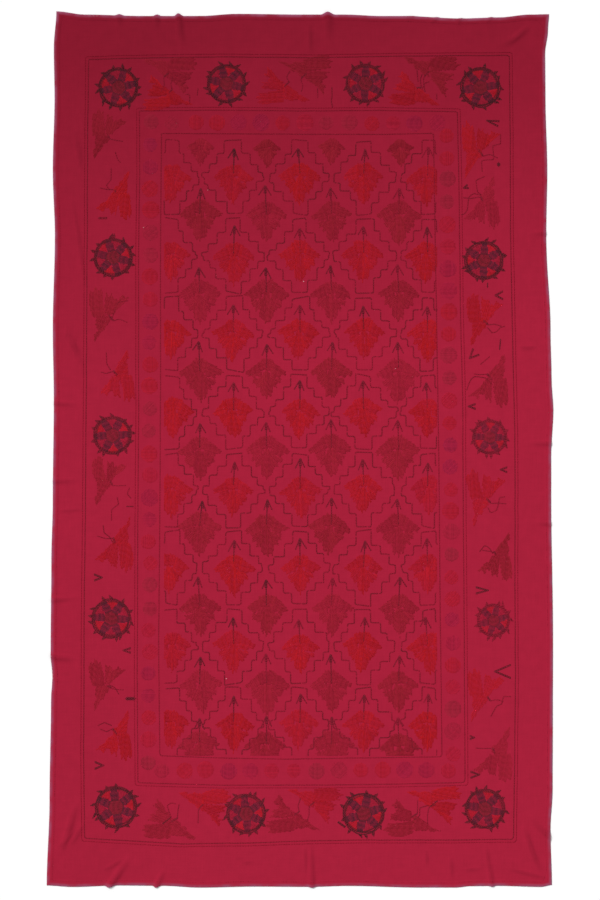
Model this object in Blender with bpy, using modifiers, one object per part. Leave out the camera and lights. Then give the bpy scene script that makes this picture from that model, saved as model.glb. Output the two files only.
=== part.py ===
"""A suzani: one cotton cloth, hemmed all round and embroidered, lying flat on a surface.

The cloth is one solid. Its outline is a little uneven, its hem is turned double, its plain margin
has the creases of a cloth that was stored folded, and its embroidered flowers and rosettes stand
proud of the ground by the thickness of their thread. +Y points to the head of the design.
"""

import math
from collections import namedtuple

import bmesh
import bpy
from mathutils import Matrix, Vector
from mathutils.geometry import delaunay_2d_cdt

MM = 0.001

# Driving sizes of the cloth, in metres. It is this thick where it is single, and full thickness
# is where the hem doubles it or thread fills it.
HALF_WIDTH = 0.700
HALF_LENGTH = 1.220
CLOTH_THICK = 0.0012
FULL_THICK = 0.0020
HEM_WIDTH = 0.017
HEM_STEP = 0.0015
EDGE_SPACING = 0.050

# The field inside the innermost stitched rule, where flowers stop short of the rule.
FIELD_X = 0.385
FIELD_HEAD = 0.885
FIELD_FOOT = -0.861
RULE_CLEARANCE = 0.006

# The field's flowers: red ones in columns and rows, and dark ones half a step between them. The
# dark rows at the head and at the foot are squeezed in, and the head's flowers are smaller.
RED_COLUMNS = (-0.360, -0.186, 0.0, 0.178, 0.357)
DARK_COLUMNS = (-0.281, -0.094, 0.088, 0.276)
ROW_STEP = 0.2188
FIRST_RED_ROW = 0.763
RED_ROWS = 8
FIRST_DARK_ROW = 0.844
FIRST_DARK_SIZE = 0.66
FULL_DARK_ROWS = 7
LAST_DARK_ROW = -0.830

# The rosettes of the border are round.
ROSETTE_RADIUS = 0.059
ROSETTE_SIDES = 12

# The crest of a stitched fill, as a share of the fill's size: the rest is its sloping side.
CREST_SHARE = 0.95

# How far each edge lies outside the straight one, in millimetres, at places along it.
EdgeRow = namedtuple("EdgeRow", "along out")
LEFT_EDGE = tuple(
    EdgeRow(*row)
    for row in (
        (1220, -18), (1120, -11), (980, -13), (780, -8), (600, -14), (335, -8), (140, -11),
        (-140, -8), (-310, -4), (-575, -2), (-635, -7), (-700, -3), (-980, 1), (-1220, 9),
    )
)
RIGHT_EDGE = tuple(
    EdgeRow(*row)
    for row in (
        (1220, -3), (1175, -6), (1110, -14), (980, -13), (780, -8), (600, -11), (335, 1),
        (200, 4), (110, 9), (-15, 3), (-140, 3), (-530, 8), (-950, 7), (-1065, 1), (-1220, 5),
    )
)
TOP_EDGE = tuple(
    EdgeRow(*row)
    for row in (
        (-700, 8), (-615, -1), (-450, -5), (-280, -5), (-180, 1), (0, -1), (130, -1),
        (225, -5), (290, -5), (450, -12), (560, -9), (645, -1), (700, 0),
    )
)
BOTTOM_EDGE = tuple(
    EdgeRow(*row)
    for row in (
        (-700, -1), (-630, 3), (-500, -1), (-380, 0), (-280, 5), (-140, 2), (30, 3),
        (140, 0), (335, 5), (435, 5), (475, 1), (560, 0), (670, 3), (700, -2),
    )
)

# The creases in the margin, in millimetres: where each starts and ends, half its width, how high
# it lifts the cloth, and how far it carries the edge out where it runs over the hem.
Crease = namedtuple("Crease", "start end half_width height carry")
CREASES = tuple(
    Crease(*row)
    for row in (
        ((-328, 1104), (-344, 1220), 14, 6.0, 7.0),
        ((-515, 1180), (-515, 1220), 15, 3.0, 3.5),
        ((-406, 1176), (-406, 1220), 13, 3.0, 4.0),
        ((84, 1128), (78, 1220), 20, 6.0, 7.5),
        ((570, 1128), (652, 1188), 14, 4.0, 0.0),
        ((-640, 900), (-612, 770), 12, 3.0, 0.0),
        ((-664, 350), (-618, 250), 12, 3.0, 0.0),
        ((-606, 127), (-700, 130), 10, 3.0, 0.0),
        ((-606, -84), (-700, -88), 10, 3.0, 0.0),
        ((-606, -412), (-700, -421), 11, 3.5, 0.0),
        ((-604, -590), (-700, -578), 13, 5.0, 0.0),
        ((-624, -985), (-664, -1135), 14, 4.0, 0.0),
        ((-462, -1120), (-526, -1220), 14, 7.0, 6.0),
        ((-372, -1160), (-398, -1220), 11, 5.0, 6.0),
        ((31, -1108), (34, -1220), 13, 5.0, 2.0),
        ((523, -1118), (535, -1220), 11, 4.0, 2.0),
        ((618, -1005), (700, -1085), 14, 5.0, 0.0),
        ((624, -1046), (668, -1180), 12, 4.0, 0.0),
        ((636, 603), (700, 606), 9, 2.5, 0.0),
        ((610, 287), (664, 287), 9, 2.5, 0.0),
        ((610, 18), (700, 18), 11, 3.5, 0.0),
        ((630, -203), (700, -208), 10, 3.0, 0.0),
    )
)
CREASE_LANES = (-1.0, -0.5, 0.0, 0.5, 1.0)
CREASE_STATIONS = (0.0, 0.35, 0.7, 1.0)

# A rosette stands at each of these places, in millimetres: the head's four, the two sides' by
# turns, and the foot's four.
ROSETTES = (
    (-508, 1015), (-206, 1025), (183, 1026), (505, 1015),
    (-523, 539), (515, 531),
    (-525, 41), (531, 36),
    (-528, -472), (542, -477),
    (-515, -1000), (-151, -1018), (178, -1018), (518, -1005),
)

# A flower of the field hangs from its stalk. These are the points of its right half, in
# millimetres from its widest line, from the notch under the stalk down to its foot.
FIELD_FLOWER_HALF = ((0, 27), (16, 36), (58, 2), (33, -14), (19, -62), (0, -66))

# A flower of the border, in millimetres from its middle, as it stands on the left: its horn above,
# its flat side to the right, its foot below and a tip out to the left.
BORDER_FLOWER = (
    (31, 84), (36, 40), (38, -20), (34, -54), (20, -68), (4, -58), (-24, -54), (-44, -40),
    (-64, -32), (-44, -10), (-22, 4), (-10, 26), (4, 54),
)

# The border's flowers, in millimetres: the middle of each, and its turn in degrees.
BorderFlower = namedtuple("BorderFlower", "x y turn")
BORDER_FLOWERS = tuple(
    BorderFlower(*row)
    for row in (
        (-385, 987, -90), (-63, 1004, -90), (307, 998, -90),
        (-349, 1065, 90), (32, 1065, 90), (382, 1065, 90),
        (-505, 701, 0), (-500, 192, 0), (-505, -279, 0), (-505, -813, 0),
        (-550, 897, 180), (-550, 393, 180), (-547, -71, 180), (-553, -643, 180),
        (489, 855, 180), (503, 379, 180), (507, -119, 180), (507, -671, 180),
        (522, 679, 0), (545, 181, 0), (561, -312, 0), (556, -867, 0),
        (-253, -987, 90), (55, -981, 90), (391, -981, 90),
        (-379, -1051, -90), (-35, -1035, -90), (298, -1043, -90),
    )
)

# One line that the sheet's triangles follow, and whether the cloth is at full thickness there.
Chain = namedtuple("Chain", "points closed full")


def smooth_step(share):
    """A share from 0 to 1, eased at both ends."""
    share = min(1.0, max(0.0, share))
    return share * share * (3 - 2 * share)


def edge_offset(rows, along):
    """How far an edge lies outside the straight one at a place along it, in metres."""
    rows = sorted(rows)
    along = along / MM
    if along <= rows[0].along:
        return rows[0].out * MM
    for low, high in zip(rows, rows[1:]):
        if along <= high.along:
            share = smooth_step((along - low.along) / (high.along - low.along))
            return (low.out + (high.out - low.out) * share) * MM
    return rows[-1].out * MM


def crease_frame(crease):
    """A crease's start, its direction and its length, in metres."""
    start = Vector(crease.start) * MM
    run = Vector(crease.end) * MM - start
    return start, run.normalized(), run.length


def runs_over_hem(crease):
    """Whether a crease ends on the edge of the cloth."""
    x, y = crease.end
    return abs(x) * MM >= HALF_WIDTH or abs(y) * MM >= HALF_LENGTH


def crease_share(crease, x, y):
    """How much of a crease's full height reaches a point, and how far along it the point is."""
    start, direction, length = crease_frame(crease)
    offset = Vector((x, y)) - start
    along = offset.dot(direction) / length
    across = abs(offset.cross(direction)) / (crease.half_width * MM)
    if across >= 1 or along <= 0:
        return 0.0, along
    over = 0.5 + 0.5 * math.cos(math.pi * across)
    if runs_over_hem(crease):
        return over * smooth_step(along), along
    if along >= 1:
        return 0.0, along
    return over * math.sin(math.pi * along), along


def lift(x, y):
    """How high the creases hold the underside of the cloth above the surface."""
    return sum(crease_share(crease, x, y)[0] * crease.height * MM for crease in CREASES)


def place(x, y):
    """Carries a point of the evenly drawn cloth to where it lies on the uneven one."""
    across, along = x / HALF_WIDTH, y / HALF_LENGTH
    side = RIGHT_EDGE if x > 0 else LEFT_EDGE
    end = TOP_EDGE if y > 0 else BOTTOM_EDGE
    moved = Vector((
        x + edge_offset(side, y) * across * abs(across),
        y + edge_offset(end, x) * along * abs(along),
    ))
    for crease in CREASES:
        share, run = crease_share(crease, x, y)
        moved += crease_frame(crease)[1] * share * run * run * crease.carry * MM
    return moved


def hem_share(x, y):
    """1 on the doubled hem, 0 inside it, and between the two on the step down."""
    inside = min(HALF_WIDTH - abs(x), HALF_LENGTH - abs(y))
    return min(1.0, max(0.0, (HEM_WIDTH - inside) / HEM_STEP))


def rectangle_chain(inset):
    """Evenly spaced points round the cloth, this far inside its edge."""
    x, y = HALF_WIDTH - inset, HALF_LENGTH - inset
    corners = [Vector((x, -y)), Vector((x, y)), Vector((-x, y)), Vector((-x, -y))]
    points = []
    for start, end in zip(corners, corners[1:] + corners[:1]):
        steps = round((end - start).length / EDGE_SPACING)
        points += [start.lerp(end, i / steps) for i in range(steps)]
    return Chain(points, closed=True, full=False)


def crease_chains(crease):
    """Lines along the crest of a crease, down its sides and along its feet."""
    start, direction, length = crease_frame(crease)
    sideways = Vector((-direction.y, direction.x)) * crease.half_width * MM
    for lane in CREASE_LANES:
        points = [start + direction * length * s + sideways * lane for s in CREASE_STATIONS]
        for point in points:
            point.x = min(HALF_WIDTH, max(-HALF_WIDTH, point.x))
            point.y = min(HALF_LENGTH, max(-HALF_LENGTH, point.y))
        yield Chain(points, closed=False, full=False)


def clipped(outline, axis, limit):
    """An outline cut straight off where its coordinate on an axis passes a limit."""
    side = math.copysign(1, limit)
    kept = []
    for point, following in zip(outline, outline[1:] + outline[:1]):
        inside = side * point[axis] <= abs(limit)
        if inside:
            kept.append(point)
        if inside != (side * following[axis] <= abs(limit)):
            share = (limit - point[axis]) / (following[axis] - point[axis])
            kept.append(point.lerp(following, share))
    return kept


def field_flower(middle, size=1.0):
    """The outline of one flower of the field."""
    right = [Vector(point) for point in FIELD_FLOWER_HALF]
    left = [Vector((-point.x, point.y)) for point in reversed(right[1:-1])]
    return [Vector(middle) + point * size * MM for point in right + left]


def field_flowers():
    """The outlines of the field's flowers, cut short of the rule that passes over them."""
    red_rows = [FIRST_RED_ROW - row * ROW_STEP for row in range(RED_ROWS)]
    dark_rows = [FIRST_RED_ROW - (row + 0.5) * ROW_STEP for row in range(FULL_DARK_ROWS)]
    dark_rows.append(LAST_DARK_ROW)
    outlines = [field_flower((x, y)) for y in red_rows for x in RED_COLUMNS]
    outlines += [field_flower((x, y)) for y in dark_rows for x in DARK_COLUMNS]
    outlines += [field_flower((x, FIRST_DARK_ROW), FIRST_DARK_SIZE) for x in DARK_COLUMNS]
    for outline in outlines:
        outline = clipped(outline, 0, FIELD_X - RULE_CLEARANCE)
        outline = clipped(outline, 0, RULE_CLEARANCE - FIELD_X)
        outline = clipped(outline, 1, FIELD_HEAD - RULE_CLEARANCE)
        yield clipped(outline, 1, FIELD_FOOT + RULE_CLEARANCE)


def border_flowers():
    """The outlines of the border's flowers, each turned its own way."""
    for flower in BORDER_FLOWERS:
        turn = Matrix.Rotation(math.radians(flower.turn), 2)
        middle = Vector((flower.x, flower.y))
        yield [(middle + turn @ Vector(point)) * MM for point in BORDER_FLOWER]


def rosette_outlines():
    """The outlines of the rosettes, which are round."""
    for middle in ROSETTES:
        angles = [2 * math.pi * i / ROSETTE_SIDES for i in range(ROSETTE_SIDES)]
        yield [
            Vector(middle) * MM + Vector((math.cos(a), math.sin(a))) * ROSETTE_RADIUS
            for a in angles
        ]


def fill_chains(outline):
    """The foot of a stitched fill, and its crest a little way in."""
    middle = sum(outline, Vector((0, 0))) / len(outline)
    crest = [middle.lerp(point, CREST_SHARE) for point in outline]
    yield Chain(outline, closed=True, full=False)
    yield Chain(crest, closed=True, full=True)


def cloth_chains():
    """Every line that the cloth's triangles follow."""
    chains = [rectangle_chain(0), rectangle_chain(HEM_WIDTH - HEM_STEP)]
    chains.append(rectangle_chain(HEM_WIDTH))
    for crease in CREASES:
        chains += crease_chains(crease)
    for outline in [*field_flowers(), *border_flowers(), *rosette_outlines()]:
        chains += fill_chains(outline)
    return chains


def triangulated(chains):
    """Points, triangles and, for each point, whether a chain at full thickness passes it."""
    points, edges, full = [], [], []
    for chain in chains:
        first = len(points)
        points += chain.points
        full += [chain.full] * len(chain.points)
        edges += [(first + i, first + i + 1) for i in range(len(chain.points) - 1)]
        if chain.closed:
            edges.append((len(points) - 1, first))
    found, _, faces, sources, _, _ = delaunay_2d_cdt(points, edges, [], 1, 1e-6)
    return found, faces, [any(full[i] for i in source) for source in sources]


def cloth_sheet():
    """The underside of the cloth as an open sheet, and the weight of full thickness by point."""
    points, faces, full = triangulated(cloth_chains())
    sheet = bmesh.new()
    corners, weights = [], []
    for point, at_full in zip(points, full):
        x, y = place(point.x, point.y)
        corners.append(sheet.verts.new((x, y, lift(point.x, point.y))))
        weights.append(1.0 if at_full else hem_share(point.x, point.y))
    for face in faces:
        sheet.faces.new([corners[i] for i in face])
    data = bpy.data.meshes.new("ground_cloth")
    sheet.to_mesh(data)
    sheet.free()
    return data, weights


def give_thickness(cloth, weights):
    """Thickens the sheet upwards, more where the hem doubles it and where thread fills it."""
    group = cloth.vertex_groups.new(name="full_thickness")
    for index, weight in enumerate(weights):
        if weight > 0:
            group.add([index], weight, "REPLACE")
    solid = cloth.modifiers.new("thickness", "SOLIDIFY")
    solid.thickness = FULL_THICK
    solid.offset = 1
    solid.vertex_group = group.name
    solid.thickness_vertex_group = CLOTH_THICK / FULL_THICK


def cotton():
    """Plain cotton, dyed crimson over its embroidery, with almost no sheen."""
    material = bpy.data.materials.new("crimson_cotton")
    material.use_nodes = True
    shader = material.node_tree.nodes["Principled BSDF"]
    shader.inputs["Base Color"].default_value = (0.342, 0.013, 0.034, 1)
    shader.inputs["Roughness"].default_value = 0.85
    shader.inputs["Metallic"].default_value = 0.0
    return material


def main():
    for old in list(bpy.data.objects):
        bpy.data.objects.remove(old)
    collection = bpy.data.collections.new("suzani")
    bpy.context.scene.collection.children.link(collection)
    data, weights = cloth_sheet()
    cloth = bpy.data.objects.new("ground_cloth", data)
    cloth.data.materials.append(cotton())
    collection.objects.link(cloth)
    give_thickness(cloth, weights)


main()
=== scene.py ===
"""A suzani: a hemmed cotton cloth, embroidered and then dyed crimson, laid flat on a pale floor.

Every stitched piece lies on the cloth as thread: chain stitch for the lines, and rows of couched
thread for the flowers, rosettes and roundels. Places on the cloth are in millimetres from its
middle, with y towards the head of the design.
"""

import math
from collections import namedtuple

import bpy
import numpy as np
from bpy.props import FloatProperty, FloatVectorProperty, PointerProperty
from bpy.types import Operator, Panel, PropertyGroup
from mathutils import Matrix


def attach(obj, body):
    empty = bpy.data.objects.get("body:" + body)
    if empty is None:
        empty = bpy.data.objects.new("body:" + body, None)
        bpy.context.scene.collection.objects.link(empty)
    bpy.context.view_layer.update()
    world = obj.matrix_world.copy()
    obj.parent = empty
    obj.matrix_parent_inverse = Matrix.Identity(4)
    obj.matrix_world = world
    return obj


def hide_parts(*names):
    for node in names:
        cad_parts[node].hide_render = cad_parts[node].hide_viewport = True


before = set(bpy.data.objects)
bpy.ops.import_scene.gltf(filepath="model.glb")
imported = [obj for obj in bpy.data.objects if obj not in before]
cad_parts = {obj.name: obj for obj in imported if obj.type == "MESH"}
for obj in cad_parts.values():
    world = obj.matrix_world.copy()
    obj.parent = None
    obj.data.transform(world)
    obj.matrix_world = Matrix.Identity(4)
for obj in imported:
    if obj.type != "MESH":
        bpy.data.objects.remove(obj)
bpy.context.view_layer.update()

bl_info = {
    "name": "Embroidered suzani",
    "version": (1, 0, 0),
    "blender": (4, 5, 0),
    "location": "3D View > Sidebar > Suzani",
    "description": "Lays out a crimson suzani and its embroidery",
    "category": "Add Mesh",
}

MM = 0.001

# The cloth as it was drawn, before handling made it uneven.
HALF_WIDTH = 700.0
HALF_LENGTH = 1220.0
CLOTH_THICK = 1.2
HEM_THICK = 2.0
HEM_WIDTH = 17.0
HEM_STEP = 3.0
HEM_STITCH_INSET = HEM_WIDTH - 2.5

# How far in from the sides and from the ends the cloth's mesh is fine.
CREASED_SIDES = 104
CREASED_ENDS = 120

# How far each edge lies outside the straight one, at places along it.
EdgeRow = namedtuple("EdgeRow", "along out")
LEFT_EDGE = (
    EdgeRow(-1220, 9), EdgeRow(-980, 1), EdgeRow(-700, -3), EdgeRow(-635, -7), EdgeRow(-575, -2),
    EdgeRow(-310, -4), EdgeRow(-140, -8), EdgeRow(140, -11), EdgeRow(335, -8), EdgeRow(600, -14),
    EdgeRow(780, -8), EdgeRow(980, -13), EdgeRow(1120, -11), EdgeRow(1220, -18),
)
RIGHT_EDGE = (
    EdgeRow(-1220, 5), EdgeRow(-1065, 1), EdgeRow(-950, 7), EdgeRow(-530, 8), EdgeRow(-140, 3),
    EdgeRow(-15, 3), EdgeRow(110, 9), EdgeRow(200, 4), EdgeRow(335, 1), EdgeRow(600, -11),
    EdgeRow(780, -8), EdgeRow(980, -13), EdgeRow(1110, -14), EdgeRow(1175, -6), EdgeRow(1220, -3),
)
TOP_EDGE = (
    EdgeRow(-700, 8), EdgeRow(-615, -1), EdgeRow(-450, -5), EdgeRow(-280, -5), EdgeRow(-180, 1),
    EdgeRow(0, -1), EdgeRow(130, -1), EdgeRow(225, -5), EdgeRow(290, -5), EdgeRow(450, -12),
    EdgeRow(560, -9), EdgeRow(645, -1), EdgeRow(700, 0),
)
BOTTOM_EDGE = (
    EdgeRow(-700, -1), EdgeRow(-630, 3), EdgeRow(-500, -1), EdgeRow(-380, 0), EdgeRow(-280, 5),
    EdgeRow(-140, 2), EdgeRow(30, 3), EdgeRow(140, 0), EdgeRow(335, 5), EdgeRow(435, 5),
    EdgeRow(475, 1), EdgeRow(560, 0), EdgeRow(670, 3), EdgeRow(700, -2),
)

# The creases in the margin: where each starts and ends, half its width, how high it lifts the
# cloth, and how far it carries the edge out where it runs over the hem.
Crease = namedtuple("Crease", "start end half_width height carry")
CREASES = (
    Crease((-328, 1104), (-344, 1220), 14, 6.0, 7.0),
    Crease((-515, 1180), (-515, 1220), 15, 3.0, 3.5),
    Crease((-406, 1176), (-406, 1220), 13, 3.0, 4.0),
    Crease((84, 1128), (78, 1220), 20, 6.0, 7.5),
    Crease((570, 1128), (652, 1188), 14, 4.0, 0.0),
    Crease((-640, 900), (-612, 770), 12, 3.0, 0.0),
    Crease((-664, 350), (-618, 250), 12, 3.0, 0.0),
    Crease((-606, 127), (-700, 130), 10, 3.0, 0.0),
    Crease((-606, -84), (-700, -88), 10, 3.0, 0.0),
    Crease((-606, -412), (-700, -421), 11, 3.5, 0.0),
    Crease((-604, -590), (-700, -578), 13, 5.0, 0.0),
    Crease((-624, -985), (-664, -1135), 14, 4.0, 0.0),
    Crease((-462, -1120), (-526, -1220), 14, 7.0, 6.0),
    Crease((-372, -1160), (-398, -1220), 11, 5.0, 6.0),
    Crease((31, -1108), (34, -1220), 13, 5.0, 2.0),
    Crease((523, -1118), (535, -1220), 11, 4.0, 2.0),
    Crease((618, -1005), (700, -1085), 14, 5.0, 0.0),
    Crease((624, -1046), (668, -1180), 12, 4.0, 0.0),
    Crease((636, 603), (700, 606), 9, 2.5, 0.0),
    Crease((610, 287), (664, 287), 9, 2.5, 0.0),
    Crease((610, 18), (700, 18), 11, 3.5, 0.0),
    Crease((630, -203), (700, -208), 10, 3.0, 0.0),
)
# The lesser wrinkles, which the solid leaves out.
WRINKLES = (
    Crease((-548, -1180), (-488, -1146), 9, 2.0, 0.0),
    Crease((33, -1090), (34, -1219), 9, 1.0, 0.0),
    Crease((14, -1100), (17, -1190), 8, 1.5, 0.0),
    Crease((520, -1098), (531, -1205), 9, 2.0, 0.0),
    Crease((422, -1130), (424, -1195), 8, 1.5, 0.0),
    Crease((352, -1112), (356, -1160), 8, 1.5, 0.0),
    Crease((455, -1176), (510, -1172), 8, 1.5, 0.0),
    Crease((565, -1170), (690, -1196), 9, 2.0, 0.0),
    Crease((-180, -1136), (-124, -1167), 7, 1.5, 0.0),
    Crease((30, 1108), (28, 1200), 9, 2.0, 0.0),
    Crease((-650, 718), (-606, 450), 10, 2.0, 0.0),
    Crease((-676, 352), (-612, 232), 9, 2.0, 0.0),
    Crease((-612, -168), (-690, -172), 8, 1.5, 0.0),
    Crease((290, 1196), (318, 1220), 9, 2.0, 1.0),
    Crease((360, 1190), (384, 1220), 9, 2.0, 1.5),
    Crease((440, 1192), (452, 1220), 9, 2.0, 1.0),
    Crease((520, 1196), (536, 1220), 9, 2.0, 1.5),
    Crease((-640, -1110), (-600, -1040), 10, 2.5, 0.0),
    Crease((-676, -1120), (-626, -1060), 9, 2.0, 0.0),
)

# The stitched rules, as points along each, from the head's left corner clockwise.
OUTER_RULE = (
    (-592, 1093), (-420, 1098), (-200, 1101), (30, 1099), (260, 1103), (585, 1106), (587, 880),
    (588, 600), (594, 330), (601, 60), (600, -300), (602, -640), (600, -900), (597, -1090),
    (420, -1091), (180, -1090), (30, -1093), (-150, -1100), (-330, -1103), (-480, -1094),
    (-603, -1087), (-606, -820), (-604, -480), (-600, -150), (-598, 200), (-596, 520), (-594, 850),
)
MID_RULE = (
    (-450, 949), (-240, 951), (0, 948), (220, 950), (441, 946), (446, 700), (449, 420),
    (455, 140), (456, -200), (459, -520), (462, -930), (260, -934), (20, -936), (-220, -937),
    (-453, -930), (-456, -600), (-454, -250), (-451, 120), (-452, 500), (-449, 760),
)
INNER_RULE = (
    (-388, 886), (-180, 885), (40, 884), (240, 883), (374, 886), (378, 620), (384, 330),
    (389, 30), (393, -300), (396, -620), (398, -858), (200, -862), (-40, -866), (-250, -862),
    (-392, -856), (-395, -560), (-392, -200), (-390, 180), (-391, 560),
)
# How far a rule's companion line lies outside it, how far apart the places are where a hand
# strays, and how far it strays.
RULE_GAP = 8.0
RULE_STEP = 9.0
RULE_WAVER = 2.2

# The field of flowers: columns of red ones and, half a step between them, of dark ones.
FIELD_LEFT = -381.0
FIELD_RIGHT = 384.0
FIELD_HEAD = 878.0
FIELD_FOOT = -856.0
ROW_STEP = 218.8
RED_COLUMNS = (-360, -186, 0, 178, 357)
DARK_COLUMNS = (-281, -94, 88, 276)
FIRST_RED_ROW = 763.0
RED_ROWS = 8
DARK_ROWS = 9
FIRST_DARK_HEIGHT = 844.0
LAST_DARK_HEIGHT = -830.0
FIRST_DARK_SIZE = 0.66
DARK_SIZE = 1.06

# The lattice is a stepped lozenge round each red flower. A quarter of one: how far out each step
# lies, where the next column stands LATTICE_SPAN away, and how far from the middle it reaches.
LozengeStep = namedtuple("LozengeStep", "out reach")
LOZENGE_STEPS = (
    LozengeStep(84, 13), LozengeStep(67, 38), LozengeStep(45, 67), LozengeStep(22, 103),
)
LATTICE_SPAN = 92.0
# How uneven its corners are, how far apart its points lie, and after how many its shade changes.
LATTICE_UNEVEN = 2.6
LATTICE_STEP = 4.0
LATTICE_RUN = 14

# An arrow stands on each flower: how far above its middle the tip and the foot are, how far out
# and down the barbs reach, and how near the field's sides there are none.
ARROW_TIP = (76, 90)
ARROW_FOOT = (4, 16)
BARB_OUT = (9, 18)
BARB_DOWN = (24, 32)
NO_ARROWS = 25

# One leaf of a flower: its outline, from the middle of the flower, and the angle of its rows.
Leaf = namedtuple("Leaf", "outline rows")
FIELD_HALF = (
    Leaf(((-2, 4), (-2, 38), (10, 40), (24, 31), (17, 4)), 74),
    Leaf((
        (12, 0), (20, 31), (38, 19), (58, 1), (51, -9), (43, -6), (36, -17), (26, -11), (12, -12),
    ), -22),
    Leaf(((6, -8), (26, -12), (40, -16), (38, -30), (29, -29), (27, -43), (11, -36)), -52),
    Leaf(((-2, 6), (10, 2), (13, -18), (19, -36), (17, -54), (10, -68), (5, -64), (-2, -79)), 90),
)
# The border's flower, as it stands on the left: a horn up to the right, towards the field, two
# ragged leaves below that part in the middle, and a tip out to the left.
BORDER_FLOWER = (
    Leaf((
        (-22, 16), (-16, 38), (-6, 44), (0, 58), (9, 62), (15, 76), (27, 92), (29, 70), (22, 58),
        (25, 42), (22, 16),
    ), 58),
    Leaf((
        (-6, 18), (-26, 16), (-38, 0), (-44, -22), (-36, -30), (-30, -26), (-24, -44), (-16, -38),
        (-9, -50), (-5, -14),
    ), 74),
    Leaf((
        (-7, 19), (30, 20), (36, -10), (38, -40), (33, -56), (26, -46), (19, -64), (11, -50),
        (4, -56), (-1, -16),
    ), 86),
    Leaf(((-30, 2), (-48, -8), (-70, -30), (-56, -31), (-48, -40), (-40, -24)), 36),
)
BORDER_STEM = ((-62, 34), (-42, 29), (-22, 31), (-12, 18))

# A flower in the border: its middle, how far it is turned in degrees, and its colour.
BorderFlower = namedtuple("BorderFlower", "place turn colour")
BORDER_FLOWERS = (
    BorderFlower((-385, 987), -90, "red"), BorderFlower((-63, 1004), -90, "red"),
    BorderFlower((307, 998), -90, "red"), BorderFlower((-349, 1065), 90, "dark"),
    BorderFlower((32, 1065), 90, "dark"), BorderFlower((382, 1065), 90, "dark"),
    BorderFlower((-505, 701), 0, "red"), BorderFlower((-500, 192), 0, "red"),
    BorderFlower((-505, -279), 0, "red"), BorderFlower((-505, -813), 0, "red"),
    BorderFlower((-550, 897), 180, "dark"), BorderFlower((-550, 393), 180, "dark"),
    BorderFlower((-547, -71), 180, "dark"), BorderFlower((-553, -643), 180, "dark"),
    BorderFlower((489, 855), 180, "red"), BorderFlower((503, 379), 180, "red"),
    BorderFlower((507, -119), 180, "red"), BorderFlower((507, -671), 180, "red"),
    BorderFlower((522, 679), 0, "dark"), BorderFlower((545, 181), 0, "dark"),
    BorderFlower((561, -312), 0, "dark"), BorderFlower((556, -867), 0, "dark"),
    BorderFlower((-253, -987), 90, "red"), BorderFlower((55, -981), 90, "red"),
    BorderFlower((391, -981), 90, "red"), BorderFlower((-379, -1051), -90, "dark"),
    BorderFlower((-35, -1035), -90, "dark"), BorderFlower((298, -1043), -90, "dark"),
)

# A rosette: its middle, its outer radius, the way its first red petal points in degrees, and how
# far its thread has faded.
Rosette = namedtuple("Rosette", "middle radius turn fade")
ROSETTES = (
    Rosette((-508, 1015), 58, 42, 0.00), Rosette((-206, 1025), 57, 76, 0.08),
    Rosette((183, 1026), 57, 58, 0.12), Rosette((505, 1015), 59, 99, 0.00),
    Rosette((-523, 539), 57, 17, 0.05), Rosette((515, 531), 57, 58, 0.05),
    Rosette((-525, 41), 56, 33, 0.18), Rosette((531, 36), 51, 88, 0.38),
    Rosette((-528, -472), 58, 86, 0.10), Rosette((542, -477), 48, 106, 0.48),
    Rosette((-515, -1000), 62, 8, 0.00), Rosette((-151, -1018), 58, 5, 0.06),
    Rosette((178, -1018), 61, 108, 0.00), Rosette((518, -1005), 59, 79, 0.08),
)

# The parts of a rosette, as shares of its radius and pointing along +x.
RING_SHARE = 0.94
RING_LINES = (1.0, 0.94, 0.88)
MIDDLE_SHARE = 0.38
THORNS = 13
THORN_LENGTH = (7, 13)
STAR_POINT = ((0.30, -0.17), (0.55, -0.20), (0.90, -0.13), (0.90, 0.13), (0.55, 0.20), (0.30, 0.17))
PETAL = ((0.42, 0.0), (0.65, -0.17), (0.79, -0.29), (0.86, 0.0), (0.79, 0.29), (0.65, 0.17))

# Roundels run round the band between the middle and the inner rule, in pairs of one colour.
ROUNDEL_TRACK = ((-418, 917), (410, 916), (430, -896), (-424, -897))
ROUNDEL_PITCH = 61.5
ROUNDEL_RADIUS = 23.0
ROUNDEL_COLOURS = ("grey", "grey", "red", "red", "purple", "purple", "red", "red")

# The chevrons in the border: middle, the way the tip points in degrees, length and spread.
Chevron = namedtuple("Chevron", "middle points_to length spread")
CHEVRONS = (
    Chevron((-564, -357), 0, 24, 20), Chevron((-561, -883), 0, 26, 22),
    Chevron((-486, -561), 180, 22, 15), Chevron((511, -393), 0, 36, 20),
    Chevron((566, -620), 180, 46, 39), Chevron((556, 433), 180, 23, 25),
    Chevron((569, -55), 180, 20, 16), Chevron((483, 265), 225, 28, 26),
    Chevron((480, 122), 180, 21, 16), Chevron((491, -909), 0, 26, 20),
    Chevron((483, -805), 0, 14, 12), Chevron((463, 735), 200, 14, 12),
    Chevron((538, 918), 165, 36, 17),
)
# The dashes: middle, the way each lies in degrees, length, and how many lines of stitching.
Dash = namedtuple("Dash", "middle lies length lines fade")
DASHES = (
    Dash((-475, -696), 0, 30, 3, 0.1), Dash((-477, -158), 0, 20, 1, 0.4),
    Dash((-553, 649), 0, 27, 2, 0.5), Dash((556, 799), 90, 13, 3, 0.1),
    Dash((560, 295), 85, 29, 1, 0.0), Dash((525, 461), 90, 13, 1, 0.1),
    Dash((116, -1048), -36, 28, 2, 0.0), Dash((-374, -1038), 38, 28, 1, 0.0),
    Dash((375, -990), 40, 26, 1, 0.0),
)

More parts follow.
